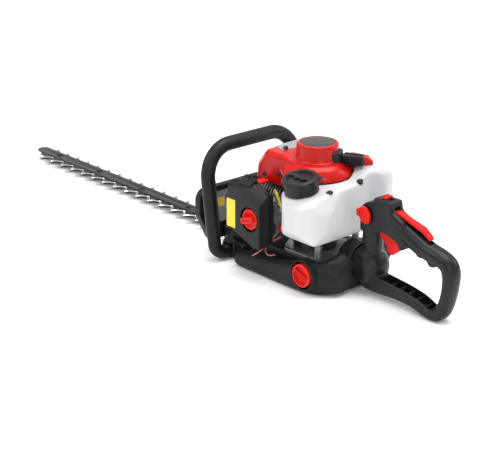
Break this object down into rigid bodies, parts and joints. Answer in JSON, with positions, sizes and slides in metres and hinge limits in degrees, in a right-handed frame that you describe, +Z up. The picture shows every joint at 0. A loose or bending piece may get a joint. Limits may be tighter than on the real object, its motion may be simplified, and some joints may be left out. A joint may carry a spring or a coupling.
{
  "type": "hedge trimmer",
  "caption": "Petrol hedge trimmer with a long double-sided cutter bar, wrap-round front loop handle, white tank and a swivelling rear handle with trigger.",
  "frame": {"origin": "point on the flat rest face under the gearcase, straight below the crankshaft axis", "axes": "+X towards the rear handle along the cutter bar, +Y to the operator's right, +Z up"},
  "size_m": [1.108, 0.2275, 0.2206],
  "materials": {
    "tool_steel_black": "black oxide",
    "tool_steel_ground": "ground",
    "cast_aluminium": "cast",
    "steel": "machined",
    "black_nylon": "fine texture",
    "red_abs": "gloss",
    "red_knob": "gloss",
    "white_hdpe": "translucent white",
    "black_tube": "satin sleeve",
    "rubber_black": "matt",
    "fuel_line": "yellow",
    "foam_felt": "open foam",
    "cord_black": "braided",
    "muffler_steel": "dull"
  },
  "bodies": {
    "chassis": {"guide_bar": "tool_steel_black", "blade_bolts": "steel", "gearcase_lower": "cast_aluminium", "gearcase_upper": "cast_aluminium", "shaft_bearings": "steel", "crankcase_lower": "cast_aluminium", "crankcase_upper": "cast_aluminium", "cylinder": "cast_aluminium", "spark_plug": "steel", "spark_plug_cap": "rubber_black", "starter_cover": "red_abs", "cover_badge": "black_nylon", "recoil_spring": "steel", "rope_guide": "black_nylon", "housing_screws": "steel", "ignition_coil": "black_nylon", "muffler": "muffler_steel", "muffler_guard": "black_nylon", "intake_insulator": "black_nylon", "carburettor": "cast_aluminium", "air_filter_base": "black_nylon", "filter_element": "foam_felt", "fuel_tank": "white_hdpe", "fuel_hose": "fuel_line", "frame_left": "black_nylon", "frame_right": "black_nylon", "mount_plugs": "red_knob", "rubber_mounts": "rubber_black", "engine_cradle": "cast_aluminium", "front_handle": "black_tube", "handle_brackets": "black_nylon", "blade_guard": "black_nylon"},
    "upper_blade_body": {"upper_blade": "tool_steel_ground"},
    "lower_blade_body": {"lower_blade": "tool_steel_ground"},
    "gear_body": {"drive_gear": "steel"},
    "clutch_body": {"clutch_drum": "steel", "drive_pinion": "steel"},
    "crank_body": {"crankshaft": "steel", "clutch_shoes": "steel", "flywheel": "cast_aluminium"},
    "piston_body": {"piston": "cast_aluminium", "rod_pins": "steel", "connecting_rod": "steel"},
    "reel_body": {"starter_reel": "black_nylon", "starter_rope": "cord_black"},
    "grip_body": {"starter_grip": "black_nylon", "rope_tail": "cord_black"},
    "primer_body": {"primer_bulb": "red_knob"},
    "choke_body": {"choke_lever": "red_knob"},
    "air_cover_body": {"air_cover": "black_nylon"},
    "knob_body": {"air_cover_knob": "red_knob"},
    "cap_body": {"fuel_cap": "black_nylon"},
    "rear_handle_body": {"handle_left": "black_nylon", "handle_right": "black_nylon", "handle_spindle": "steel", "handle_fasteners": "steel"},
    "trigger_body": {"throttle_trigger": "red_knob"},
    "lockout_body": {"throttle_lockout": "red_knob"},
    "switch_body": {"stop_switch": "red_knob"},
    "swivel_lock_body": {"swivel_lock": "red_knob"}
  },
  "joints": [
    {"name": "gear_spin", "type": "hinge", "parent": "chassis", "child": "gear_body", "pos_m": [-0.05, 0, 0.025], "axis": [0, 0, 1], "continuous": true},
    {"name": "pinion_spin", "type": "hinge", "parent": "chassis", "child": "clutch_body", "pos_m": [0, 0, 0.025], "axis": [0, 0, 1], "continuous": true},
    {"name": "upper_blade_stroke", "type": "slide", "parent": "chassis", "child": "upper_blade_body", "axis": [1, 0, 0], "range_m": [-0.008, 0.008]},
    {"name": "lower_blade_stroke", "type": "slide", "parent": "chassis", "child": "lower_blade_body", "axis": [1, 0, 0], "range_m": [-0.008, 0.008]},
    {"name": "crank_spin", "type": "hinge", "parent": "chassis", "child": "crank_body", "pos_m": [0, 0, 0.108], "axis": [0, 0, 1], "continuous": true},
    {"name": "piston_stroke", "type": "slide", "parent": "chassis", "child": "piston_body", "axis": [1, 0, 0], "range_m": [0, 0.028]},
    {"name": "starter_pull", "type": "slide", "parent": "chassis", "child": "grip_body", "axis": [0.891, 0.454, 0], "range_m": [0, 0.5], "stiffness_N_per_m": 8},
    {"name": "reel_spin", "type": "hinge", "parent": "chassis", "child": "reel_body", "pos_m": [0, 0, 0.197], "axis": [0, 0, 1], "range_deg": [-1400, 0]},
    {"name": "primer_press", "type": "slide", "parent": "chassis", "child": "primer_body", "axis": [-1, 0, 0], "range_m": [0, 0.003], "stiffness_N_per_m": 400},
    {"name": "choke_turn", "type": "hinge", "parent": "chassis", "child": "choke_body", "pos_m": [-0.058, -0.07, 0.133], "axis": [0, -1, 0], "range_deg": [0, 30]},
    {"name": "air_cover_lift", "type": "slide", "parent": "chassis", "child": "air_cover_body", "axis": [0, -1, 0], "range_m": [0, 0.06]},
    {"name": "air_knob_turn", "type": "hinge", "parent": "air_cover_body", "child": "knob_body", "pos_m": [-0.043, -0.108, 0.102], "axis": [0, -1, 0], "continuous": true},
    {"name": "fuel_cap_lift", "type": "slide", "parent": "chassis", "child": "cap_body", "axis": [0, -0.1908, 0.9816], "range_m": [0, 0.045]},
    {"name": "handle_swivel", "type": "hinge", "parent": "chassis", "child": "rear_handle_body", "pos_m": [0.105, 0, 0.047], "axis": [1, 0, 0], "range_deg": [-90, 90]},
    {"name": "trigger_pull", "type": "hinge", "parent": "rear_handle_body", "child": "trigger_body", "pos_m": [0.15, 0, 0.114], "axis": [0, -1, 0], "range_deg": [0, 12], "stiffness_Nm_per_rad": 0.3},
    {"name": "lockout_press", "type": "hinge", "parent": "rear_handle_body", "child": "lockout_body", "pos_m": [0.176, 0, 0.145], "axis": [0, 1, 0], "range_deg": [0, 5], "stiffness_Nm_per_rad": 0.5},
    {"name": "stop_switch_slide", "type": "slide", "parent": "rear_handle_body", "child": "switch_body", "axis": [1, 0, 0], "range_m": [0, 0.006]},
    {"name": "swivel_lock_turn", "type": "hinge", "parent": "rear_handle_body", "child": "swivel_lock_body", "pos_m": [0.124, -0.015, 0.135], "axis": [0, 1, 0], "range_deg": [0, 20], "stiffness_Nm_per_rad": 0.4}
  ],
  "couplings": [
    {"joint": "pinion_spin", "follows": "gear_spin", "ratio": -4.7143},
    {"joint": "lower_blade_stroke", "follows": "upper_blade_stroke", "ratio": -1},
    {"joint": "reel_spin", "follows": "starter_pull", "rad_per_m": -45.455}
  ]
}
